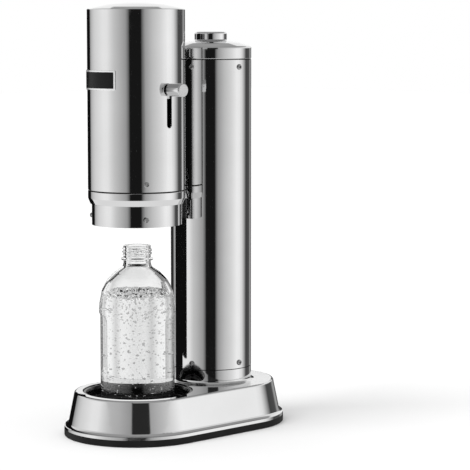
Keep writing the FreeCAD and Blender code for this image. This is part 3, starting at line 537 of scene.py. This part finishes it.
def ripple(across, along):
    """Height of the fizzing surface at a place, in mm."""
    side = inner_side(water_top)
    out = math.hypot(across, along) / side
    wave = noise.noise(Vector((across * 0.11, along * 0.11, 3.1))) * 4.2
    wave += noise.noise(Vector((across * 0.36, along * 0.36, 8.7))) * 4.0
    return wave * (1 - 0.4 * out) + 0.5 * smoothstep(0.93, 1.0, out)


def hollow_bubbles(work, count, chance):
    """Adds inverted balls inside the water: small ones anywhere, and more of them near the wall.

    Every third rises close under the surface, and every fourth, larger, lies in the froth at it.
    """
    ball = bmesh.new()
    bmesh.ops.create_icosphere(ball, subdivisions=2, radius=1)
    spots = [vert.co.copy() for vert in ball.verts]
    sides = [[vert.index for vert in reversed(face.verts)] for face in ball.faces]
    ball.free()
    for place in range(count):
        level = bottle_low + 11 + (water_top - bottle_low - 14) * chance.random() ** 0.8
        side = inner_side(level) - 1.0
        out = side * (chance.random() ** 0.33)
        angle = chance.random() * 2 * math.pi
        radius = 0.28 + 0.8 * chance.random() ** 3
        if place % 3 == 0:
            level = water_top - 2.6 - 24 * chance.random() ** 2.2
            out = side * chance.random() ** 0.4
        if place % 4 == 1:
            level = water_top - 1.6 - 2.6 * chance.random()
            out = (inner_side(level) - 1.6) * chance.random() ** 0.35
            radius = 0.5 + 0.9 * chance.random() ** 2
        centre = bottle_axis + Vector((out * math.cos(angle), out * math.sin(angle), level)) * MM
        made = [work.verts.new(centre + spot * radius * MM) for spot in spots]
        for corners in sides:
            work.faces.new([made[corner] for corner in corners])


fluid = water_mesh()
hollow_bubbles(fluid, BUBBLES, random.Random(7))
filling = piece("bottle_water", fluid, "bottle", water, (), 60)
filling.visible_glossy = False


# ---- tray: a cup that the bottle stands in, and a shelf round its mouth ----

tray_side = reach("drip_tray") / MM
tray_low = low("drip_tray") / MM
tray_high = high("drip_tray") / MM
shelf = 34.5
shelf_side = 53.4
cup_floor = 15.0
cup_side = 42.2
wall = 2.4
piece(
    "tray_moulded",
    lathe(
        (
            (0, tray_low),
            (cup_side + wall, tray_low, 2.5),
            (cup_side + wall, shelf - wall, 1.5),
            (tray_side, shelf - wall, 2.0),
            (tray_side, tray_high, 0.5),
            (shelf_side + 1.2, tray_high, 0.9),
            (shelf_side, tray_high - 3.0, 3.0),
            (shelf_side, shelf + 0.5, 0.8),
            (shelf_side - 1.0, shelf, 0.8),
            (cup_side + 1.0, shelf, 1.0),
            (cup_side, shelf - 1.4, 1.0),
            (cup_side, cup_floor, 1.6),
            (0, cup_floor),
        ),
        upright("drip_tray"),
    ),
    "tray",
    black,
    ("drip_tray",),
)

# ---- badge, left blank ----


def curved_plate(centre, inner, outer, start, end, bottom, top, corner, edge=0.12, steps=72):
    """A thin plate bent round an upright axis, with round corners and a bevelled rim. In mm."""
    work = bmesh.new()
    length = (end - start) * outer
    level = (top + bottom) / 2

    def columns(radius, shrink):
        made = []
        turn = max(corner - shrink, 0.05)
        for step in range(steps + 1):
            along = shrink + (length - 2 * shrink) * (1 - math.cos(math.pi * step / steps)) / 2
            over = max(turn - (along - shrink), turn - (length - shrink - along), 0)
            half = (top - bottom) / 2 - shrink - turn + math.sqrt(max(turn * turn - over * over, 0))
            angle = start + along / outer
            out = Vector((radius * math.cos(angle), radius * math.sin(angle), 0))
            ends = [out + Vector((0, 0, level + side * half)) for side in (-1, 1)]
            made.append([work.verts.new(centre + spot * MM) for spot in ends])
        return made

    layers = [columns(inner, 0), columns(outer - edge, 0), columns(outer, edge)]
    for first, second in zip(layers[-1], layers[-1][1:]):
        work.faces.new((first[0], second[0], second[1], first[1]))
    for first, second in zip(layers[0], layers[0][1:]):
        work.faces.new((first[0], first[1], second[1], second[0]))
    loops = [[pair[0] for pair in layer] + [pair[1] for pair in reversed(layer)] for layer in layers]
    for below, above in zip(loops, loops[1:]):
        for step in range(len(below)):
            after = (step + 1) % len(below)
            work.faces.new((below[step], below[after], above[after], above[step]))
    bmesh.ops.recalc_face_normals(work, faces=work.faces)
    return work


def node_points(node, axis):
    return [(v.co - axis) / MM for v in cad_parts[node].data.vertices]


def span_of(node, axis):
    """Start and end angle, bottom and top, inner and outer radius of a bent plate."""
    points = node_points(node, axis)
    angles = [math.atan2(point.y, point.x) for point in points]
    radii = [math.hypot(point.x, point.y) for point in points]
    return min(angles), max(angles), low(node) / MM, high(node) / MM, min(radii), max(radii)


start, end, bottom, top, inner, outer = span_of("badge_frame", head)
piece(
    "badge_border",
    curved_plate(head, inner, outer, start, end, bottom, top, 1.3, 0.2),
    "base",
    border,
    ("badge_frame",),
)
start, end, bottom, top = span_of("badge_field", head)[:4]
piece(
    "badge_blank_field",
    curved_plate(head, outer - 0.05, outer + 0.05, start, end, bottom, top, 0.7, 0.04),
    "base",
    enamel,
    ("badge_field",),
)

# ---- radial screws, with hexagon sockets ----


def spots_of(node, axis, gap=0.15):
    """Angle and height of each solid of a node that stands round an axis, gap radians or more apart."""
    points = sorted((math.atan2(p.y, p.x) % (2 * math.pi), p.z) for p in node_points(node, axis))
    groups = [[points[0]]]
    for point in points[1:]:
        if point[0] - groups[-1][-1][0] > gap:
            groups.append([])
        groups[-1].append(point)
    if len(groups) > 1 and groups[0][0][0] + 2 * math.pi - groups[-1][-1][0] < gap:
        groups[0] += [(angle - 2 * math.pi, level) for angle, level in groups.pop()]
    spots = []
    for group in groups:
        angles = [angle for angle, level in group]
        spots.append(((min(angles) + max(angles)) / 2, sum(level for angle, level in group) / len(group)))
    return spots


# Rings of a screw head from its middle outwards: share of its radius, share of its height,
# and whether the ring is a hexagon.
SCREW_RINGS = (
    (0, 0.05, False),
    (0.48, 0.05, True),
    (0.52, 0.96, True),
    (0.64, 1.0, False),
    (0.80, 0.9, False),
    (0.93, 0.68, False),
    (1.0, 0.3, False),
    (1.0, -0.25, False),
)


def screws(node, axis, surface, body, side=3.0, stand=1.7, around=48):
    """Low domed heads with a hexagon socket, one at each place the frame has."""
    work = bmesh.new()
    for angle, level in spots_of(node, axis):
        out = Vector((math.cos(angle), math.sin(angle), 0))
        across = Vector((-out.y, out.x, 0))
        base = axis + (out * surface + Vector((0, 0, level))) * MM
        rings = []
        for share, rise, hexagon in SCREW_RINGS:
            if share == 0:
                rings.append([work.verts.new(base + out * stand * rise * MM)])
                continue
            ring = []
            for step in range(around):
                turn = 2 * math.pi * step / around
                radius = share * side
                if hexagon:
                    radius *= 0.9 / math.cos((turn % (math.pi / 3)) - math.pi / 6)
                spot = out * stand * rise + across * radius * math.cos(turn)
                spot += Vector((0, 0, radius * math.sin(turn)))
                ring.append(work.verts.new(base + spot * MM))
            rings.append(ring)
        skin(work, rings)
        work.faces.new(rings[-1])
    bmesh.ops.recalc_face_normals(work, faces=work.faces)
    return piece(node + "_socket_heads", work, body, screwed, (node,), 28)


screws("column_screws_lower", column, reach("column_tube") / MM, "base")
screws("column_screws_upper", column, reach("column_tube") / MM, "base")
screws("head_screws", head, reach("head_shell") / MM, "base")

# ---- lower ring of the head, with its spigot painted near-black as the shade in the gap ----

ring_low = low("head_lower_ring") / MM
ring_side = reach("head_lower_ring") / MM
spigot = high("head_lower_ring") / MM
shadow_gap = 1.3
ring_top = low("head_shell") / MM - shadow_gap
spigot_side = ring_side - 1.45
shield_side = reach("shield_tube") / MM
mouth = shield_side + 0.08
ring = piece(
    "head_ring_turned",
    lathe(
        (
            (mouth, ring_low + 0.4, 0.3),
            (mouth + 1.4, ring_low, 0.3),
            (ring_side, ring_low + 6.0, 4.0),
            (ring_side, ring_top, 0.5),
            (spigot_side, ring_top, 0.1),
            (spigot_side, spigot, 0.3),
            (shield_side + 0.5, spigot, 0.3),
            (shield_side + 0.5, ring_low + 9.0, 0.3),
            (mouth, ring_low + 8.0, 0.3),
        ),
        head,
        256,
    ),
    "base",
    polished,
    ("head_lower_ring",),
)
# The spigot, inside the gap, gets the painted gap shade.
second_finish(ring, painted_gap_shade, lambda centre: centre.z > (ring_top - 0.05) * MM)

# ---- cap of the column, with its three lugs ----


def arc_block(work, centre, inner, outer, start, end, bottom, top, steps=12):
    """A short curved block round an upright axis."""
    loops = []
    for step in range(steps + 1):
        angle = start + (end - start) * step / steps
        out = Vector((math.cos(angle), math.sin(angle), 0))
        corners = ((inner, bottom), (outer, bottom), (outer, top), (inner, top))
        spots = [out * radius + Vector((0, 0, level)) for radius, level in corners]
        loops.append([work.verts.new(centre + spot * MM) for spot in spots])
    for first, second in zip(loops, loops[1:]):
        for side in range(4):
            after = (side + 1) % 4
            work.faces.new((first[side], second[side], second[after], first[after]))
    work.faces.new(loops[0])
    work.faces.new(list(reversed(loops[-1])))


cap_side = reach("column_cap") / MM
cap_low = low("column_cap") / MM
cap_top = high("column_cap") / MM
cap_foot = high("cap_gasket") / MM + 0.4
cap_knob_side = reach("cap_knob") / MM
cap_hole = 2.65
cap_rim = cap_top - 6.0
skirt = [point for point in node_points("column_cap", column) if point.z < cap_foot - 0.5]
skirt_sides = sorted(math.hypot(point.x, point.y) for point in skirt)
lug_reach = skirt_sides[-1]
skirt_inner = skirt_sides[0]
lug_points = [point for point in skirt if math.hypot(point.x, point.y) > lug_reach - 0.05]
skirt_side = max(side for side in skirt_sides if side < lug_reach - 0.3)
cap_work = lathe(
    (
        (cap_hole, cap_top - 1.2),
        (cap_hole, cap_top),
        (cap_knob_side + 0.5, cap_top, 2.0),
        (cap_side * 0.72, cap_top - 2.3, 14.0),
        (cap_side, cap_rim, 2.6),
        (cap_side, cap_foot, 0.6),
        (skirt_side, cap_foot),
        (skirt_side, cap_low),
        (skirt_inner, cap_low),
        (skirt_inner, cap_rim - 1.3, 2.0),
        (cap_side * 0.70, cap_top - 3.7, 8.0),
    ),
    column,
    256,
    steps=9,
)
lug_gap = 0.4
lug_count = 3
bands = sorted(math.atan2(point.y, point.x) % (2 * math.pi) for point in lug_points)
starts = [0] + [place for place in range(1, len(bands)) if bands[place] - bands[place - 1] > lug_gap]
groups = [bands[first:last] for first, last in zip(starts, starts[1:] + [len(bands)])]
if len(groups) > lug_count:
    groups[0] = [angle - 2 * math.pi for angle in groups.pop()] + groups[0]
lug_bottom = min(point.z for point in lug_points)
lug_top = max(point.z for point in lug_points)
for group in groups:
    arc_block(cap_work, column, skirt_side - 0.4, lug_reach, group[0], group[-1], lug_bottom, lug_top)
piece("cap_spun", cap_work, "cap", polished, ("column_cap",), 40)

# ---- lever knob ----

knob_low, knob_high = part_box("lever_knob")
knob_axis = Vector((0, (knob_low.y + knob_high.y) / 2, (knob_low.z + knob_high.z) / 2))
knob_side = (knob_high.z - knob_low.z) / 2 / MM
near_end, far_end = knob_low.x / MM, knob_high.x / MM
knob = piece(
    "lever_knob_turned",
    lathe(
        (
            (0, near_end),
            (knob_side - 0.5, near_end, 0.3),
            (knob_side, near_end + 0.6, 0.5),
            (knob_side, far_end - 1.7, 0.1),
            (knob_side - 0.35, far_end - 1.5, 0.1),
            (knob_side - 0.35, far_end - 1.1, 0.1),
            (knob_side, far_end - 0.9, 0.15),
            (knob_side, far_end - 0.5, 0.3),
            (knob_side - 0.55, far_end, 0.3),
            (knob_side - 1.1, far_end, 0.1),
            (0, far_end - 0.12),
        ),
        knob_axis,
        128,
        "X",
    ),
    "lever",
    polished,
    ("lever_knob",),
)
second_finish(knob, brushed, lambda centre: centre.x > (far_end - 0.6) * MM)


# ---- studio ----

# The camera looks along away, which view_turn turns from the Y axis, and down by view_tilt.
# Its place is in mm: to the right of the head's axis, in front of it, and above the table.
view_turn = math.radians(45.59)
view_tilt = math.radians(5.83)
camera_right = 102.5
camera_near = 2088
camera_height = 423.3
away = Vector((-math.sin(view_turn), math.cos(view_turn), 0))
aside = Vector((math.cos(view_turn), math.sin(view_turn), 0))
camera_data = bpy.data.cameras.new("camera")
camera = bpy.data.objects.new("camera", camera_data)
scene.collection.objects.link(camera)
camera_data.sensor_width = 36
camera_data.lens = 153.7
camera.location = head + (camera_right * aside - camera_near * away) * MM
camera.location.z += camera_height * MM
look = away * math.cos(view_tilt) - Vector((0, 0, math.sin(view_tilt)))
camera.rotation_mode = "QUATERNION"
camera.rotation_quaternion = look.to_track_quat("-Z", "Y")
camera_data.clip_end = 50
scene.camera = camera

world = bpy.data.worlds.new("studio")
scene.world = world
world.use_nodes = True
background = world.node_tree.nodes["Background"]
background.inputs["Color"].default_value = (1, 1, 1, 1)
background.inputs["Strength"].default_value = 1.0

floor_half = 9
floor_corners = [(floor_half * x, floor_half * y, 0) for x, y in ((-1, -1), (1, -1), (1, 1), (-1, 1))]
floor_mesh = bpy.data.meshes.new("floor")
floor_mesh.from_pydata(floor_corners, [], [(0, 1, 2, 3)])
floor = bpy.data.objects.new("floor", floor_mesh)
scene.collection.objects.link(floor)
pale, tree, shader = material("pale_floor")
cloud = grain(tree, (1, 1, 1), 3.0)
tree.links.new(mix(tree, cloud, (0.79,) * 3, (0.81,) * 3), shader.inputs["Base Color"])
shader.inputs["Roughness"].default_value = 0.6
shader.inputs["Specular IOR Level"].default_value = 0.0
floor_mesh.materials.append(pale)
floor.visible_glossy = False
floor.visible_transmission = False

# Round the set stand cards that only polished surfaces see, in a low wall and a high one, given as
# (degrees round from the camera, brightness). The gap in front of the set is dark, and so is the
# rear of the low wall. The low wall's values began as brightness measured across the head in the
# photograph, divided by 0.66 for the steel and thinned out.
CARDS_LOW = (
    (-180, 0.03), (-139, 0.03), (-133, 0.40), (-122, 0.72), (-109, 0.93), (-80, 1.16), (-68, 1.14),
    (-50, 0.80), (-35, 0.62), (-22, 0.45), (-15, 0.16), (-13, 0.012), (13, 0.012), (16, 0.2),
    (22, 0.46), (41, 0.76), (62, 1.0), (80, 1.26), (92, 1.22), (100, 1.02), (112, 0.44), (119, 0.08),
    (140, 0.10), (148, 0.42), (156, 0.36), (164, 0.06), (180, 0.03),
)
CARDS_HIGH = (
    (-180, 1.05), (-140, 1.1), (-125, 0.95), (-95, 0.9), (-60, 0.72), (-30, 0.60), (-9, 0.42), (-7, 0.03),
    (21, 0.03), (23, 0.50), (50, 0.75), (90, 1.0), (120, 1.0), (150, 1.05), (180, 1.05),
)
# Outside them stands a surround that only glass and water see, given the same way. It is dark at
# the sides, which draws the bottle's edges, and striped behind the set.
SURROUND = (
    (-180, 0.95), (-171, 0.93), (-166, 0.62), (-160, 0.90), (-152, 0.92), (-146, 0.45), (-140, 0.72),
    (-134, 0.25), (-122, 0.04), (-72, 0.04), (-40, 0.60), (0, 0.85), (40, 0.60), (72, 0.04), (122, 0.04),
    (134, 0.25), (140, 0.72), (146, 0.45), (152, 0.92), (160, 0.90), (166, 0.62), (171, 0.93), (180, 0.95),
)


WALL_STEPS = 180
BRIGHTEST = 1.3


def glowing(name):
    """A material that only gives light, and the node that gives it."""
    glow = bpy.data.materials.new(name)
    glow.use_nodes = True
    tree = glow.node_tree
    tree.nodes.clear()
    out = tree.nodes.new("ShaderNodeOutputMaterial")
    light = tree.nodes.new("ShaderNodeEmission")
    tree.links.new(light.outputs[0], out.inputs["Surface"])
    return glow, light


def set_piece(name, verts, faces, glow, glossy=True):
    """A card seen by reflections only, or only through glass."""
    mesh = bpy.data.meshes.new(name)
    mesh.from_pydata(verts, [], faces)
    mesh.materials.append(glow)
    card = bpy.data.objects.new(name, mesh)
    scene.collection.objects.link(card)
    card.visible_camera = False
    card.visible_diffuse = False
    card.visible_shadow = False
    card.visible_glossy = glossy
    card.visible_transmission = not glossy
    return card


def strip_faces(count):
    """Faces of an upright strip whose points come in pairs, bottom and top."""
    return [(2 * step, 2 * step + 2, 2 * step + 3, 2 * step + 1) for step in range(count)]


def card_wall(name, far, bottom, top, stops, glossy=True):
    """A round wall of cards, far metres from the middle, whose brightness goes from stop to stop."""
    facing = math.atan2(-away.y, -away.x)
    verts = []
    for step in range(WALL_STEPS + 1):
        angle = math.radians(step * 360 / WALL_STEPS - 180) + facing
        verts += [(far * math.cos(angle), far * math.sin(angle), level) for level in (bottom, top)]
    glow, light = glowing(name)
    tree = glow.node_tree
    spot = tree.nodes.new("ShaderNodeTexCoord")
    turn = tree.nodes.new("ShaderNodeMapping")
    turn.inputs["Rotation"].default_value = (0, 0, -facing)
    round_it = tree.nodes.new("ShaderNodeTexGradient")
    round_it.gradient_type = "RADIAL"
    ramp = tree.nodes.new("ShaderNodeValToRGB")
    tree.links.new(spot.outputs["Object"], turn.inputs["Vector"])
    tree.links.new(turn.outputs[0], round_it.inputs["Vector"])
    tree.links.new(round_it.outputs["Fac"], ramp.inputs["Fac"])
    tree.links.new(ramp.outputs["Color"], light.inputs["Color"])
    light.inputs["Strength"].default_value = BRIGHTEST
    steps = ramp.color_ramp.elements
    while len(steps) > 1:
        steps.remove(steps[-1])
    for place, (angle, level) in enumerate(stops):
        mark = steps[0] if place == 0 else steps.new((angle + 180) / 360)
        mark.position = (angle + 180) / 360
        mark.color = (level / BRIGHTEST, level / BRIGHTEST, level / BRIGHTEST, 1)
    return set_piece(name, verts, strip_faces(WALL_STEPS), glow, glossy)


def round_card(name, radius, height, level, glossy=True, steps=64):
    """A level round card of one brightness."""
    turns = [2 * math.pi * step / steps for step in range(steps)]
    verts = [(radius * math.cos(turn), radius * math.sin(turn), height) for turn in turns]
    glow, light = glowing(name)
    light.inputs["Color"].default_value = (level, level, level, 1)
    return set_piece(name, verts, [tuple(range(steps))], glow, glossy)


cards_far, cards_bottom, cards_split, cards_top = 3.0, -0.62, 0.52, 1.9
surround_far, surround_bottom, surround_top = 3.2, -1.3, 1.6
card_wall("cards_low", cards_far, cards_bottom, cards_split, CARDS_LOW)
card_wall("cards_high", cards_far, cards_split, cards_top, CARDS_HIGH)
round_card("ceiling", cards_far, cards_top, 0.42)
card_wall("surround", surround_far, surround_bottom, surround_top, SURROUND, False)
round_card("surround_floor", surround_far, surround_bottom, 0.5, False)
round_card("surround_top", surround_far, surround_top, 0.12, False)


def flag(name, marks, bottom, top):
    """An upright black card that only reflections see.

    Its points are in mm from the head's axis: to the right, then towards the camera.
    """
    spots = [head + aside * across * MM - away * near * MM for across, near in marks]
    verts = [(spot.x, spot.y, level) for spot in spots for level in (bottom, top)]
    glow, light = glowing(name)
    light.inputs["Color"].default_value = (0.006, 0.006, 0.006, 1)
    return set_piece(name, verts, strip_faces(len(spots) - 1), glow)


flag("flag_near", ((-57, -22), (-84, -42)), 0.055, 0.46)
flag("flag_bridge", ((42.6, -27.4), (53.5, -38.0)), 0.243, 0.392)
flag("flag_low", ((-55, -8), (-57, -22)), 0.055, 0.235)
flag("flag_far", ((-84, -42), (-240, -185), (-420, -353)), -0.06, 0.46)


def soft_sun(name, place, target, strength, spread_degrees):
    """A lamp that shines from place to target, and is as wide in the sky as spread_degrees."""
    data = bpy.data.lights.new(name, "SUN")
    data.energy = strength
    data.angle = math.radians(spread_degrees)
    lamp = bpy.data.objects.new(name, data)
    scene.collection.objects.link(lamp)
    lamp.rotation_mode = "QUATERNION"
    lamp.rotation_quaternion = (Vector(target) - Vector(place)).to_track_quat("-Z", "Y")
    lamp.visible_glossy = False
    return lamp


sun_place = head - aside * 1.5 - away * 0.9 + Vector((0, 0, 2.2))
sun_target = (0, 0, 0.15)
soft_sun("key", sun_place, sun_target, 1.5, 30)
